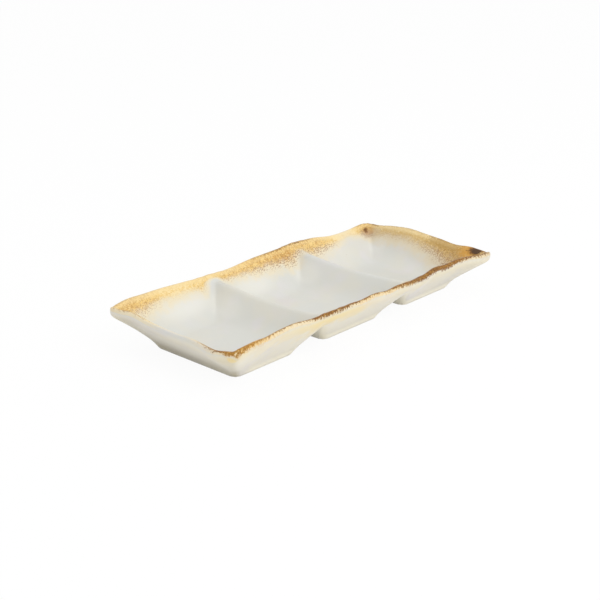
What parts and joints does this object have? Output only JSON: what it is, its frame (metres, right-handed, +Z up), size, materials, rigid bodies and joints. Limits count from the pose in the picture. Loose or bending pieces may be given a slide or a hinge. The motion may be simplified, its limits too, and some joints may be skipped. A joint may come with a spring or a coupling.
{
  "type": "divided sauce dish",
  "caption": "Long shallow glazed stoneware dish with square wells in a row, folded dividers, a flared wavy rim and a foot ring under each well.",
  "frame": {"origin": "on the ground below the centre of the dish's bounding box", "axes": "+X along the row of wells, +Y across it to the back side, +Z up"},
  "size_m": [0.2614, 0.1184, 0.0323],
  "materials": {
    "clay": "matte",
    "white_glaze": "gloss",
    "rim_glaze": "gloss"
  },
  "bodies": {
    "root": {"clay_body": "clay", "white_glaze": "white_glaze", "rim_glaze": "rim_glaze"}
  },
  "joints": []
}
